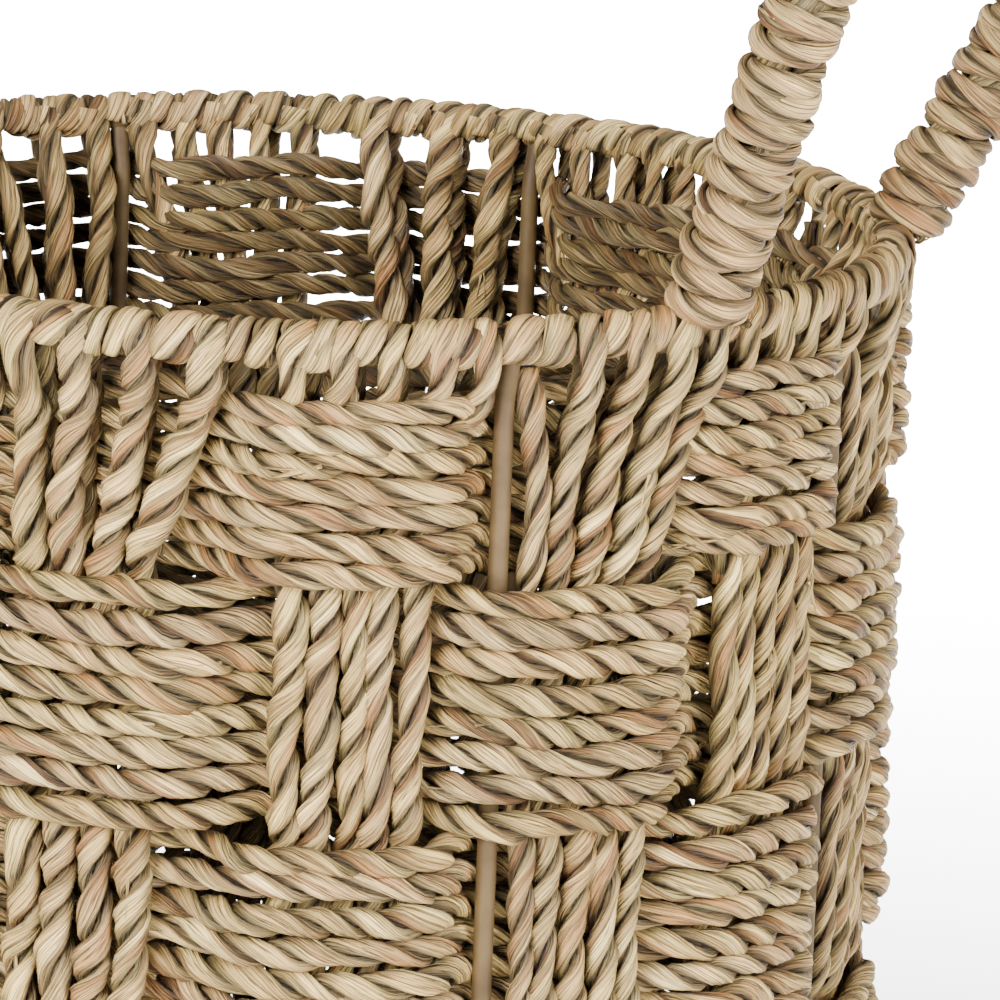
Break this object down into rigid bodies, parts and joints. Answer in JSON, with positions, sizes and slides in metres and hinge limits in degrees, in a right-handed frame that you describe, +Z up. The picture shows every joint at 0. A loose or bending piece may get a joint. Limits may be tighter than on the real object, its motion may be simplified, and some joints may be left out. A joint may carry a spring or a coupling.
{
  "type": "seagrass storage basket",
  "caption": "Round storage basket of twisted seagrass cord woven in blocks over a welded wire frame, with a lashed rim and two wrapped hoop handles",
  "frame": {"origin": "middle of the base, on the surface that the basket stands on", "axes": "+Z up along the basket's axis, +X towards one handle and -X towards the other"},
  "size_m": [0.3776, 0.2974, 0.4228],
  "materials": {
    "seagrass": "matte",
    "frame_wire": "satin"
  },
  "bodies": {
    "root": {"rim_ring": "frame_wire", "base_ring": "frame_wire", "upright_1": "frame_wire", "upright_2": "frame_wire", "upright_3": "frame_wire", "upright_4": "frame_wire", "upright_5": "frame_wire", "upright_6": "frame_wire", "upright_7": "frame_wire", "upright_8": "frame_wire", "base_wire_long": "frame_wire", "base_wire_front": "frame_wire", "base_wire_back": "frame_wire", "handle_wire_right": "frame_wire", "handle_wire_left": "frame_wire", "handle_wrap_right": "seagrass", "handle_wrap_left": "seagrass", "rim_lashing": "seagrass", "base_lashing": "seagrass", "warp_column_01": "seagrass", "warp_column_02": "seagrass", "warp_column_03": "seagrass", "warp_column_04": "seagrass", "warp_column_05": "seagrass", "warp_column_06": "seagrass", "warp_column_07": "seagrass", "warp_column_08": "seagrass", "warp_column_09": "seagrass", "warp_column_10": "seagrass", "warp_column_11": "seagrass", "warp_column_12": "seagrass", "warp_column_13": "seagrass", "warp_column_14": "seagrass", "warp_column_15": "seagrass", "warp_column_16": "seagrass", "weft_band_1": "seagrass", "weft_band_2": "seagrass", "weft_band_3": "seagrass", "weft_band_4": "seagrass", "weft_band_5": "seagrass", "base_strip_x1": "seagrass", "base_strip_x2": "seagrass", "base_strip_x3": "seagrass", "base_strip_x4": "seagrass", "base_strip_x5": "seagrass", "base_strip_x6": "seagrass", "base_strip_x7": "seagrass", "base_strip_y1": "seagrass", "base_strip_y2": "seagrass", "base_strip_y3": "seagrass", "base_strip_y4": "seagrass", "base_strip_y5": "seagrass", "base_strip_y6": "seagrass", "base_strip_y7": "seagrass"}
  },
  "joints": []
}
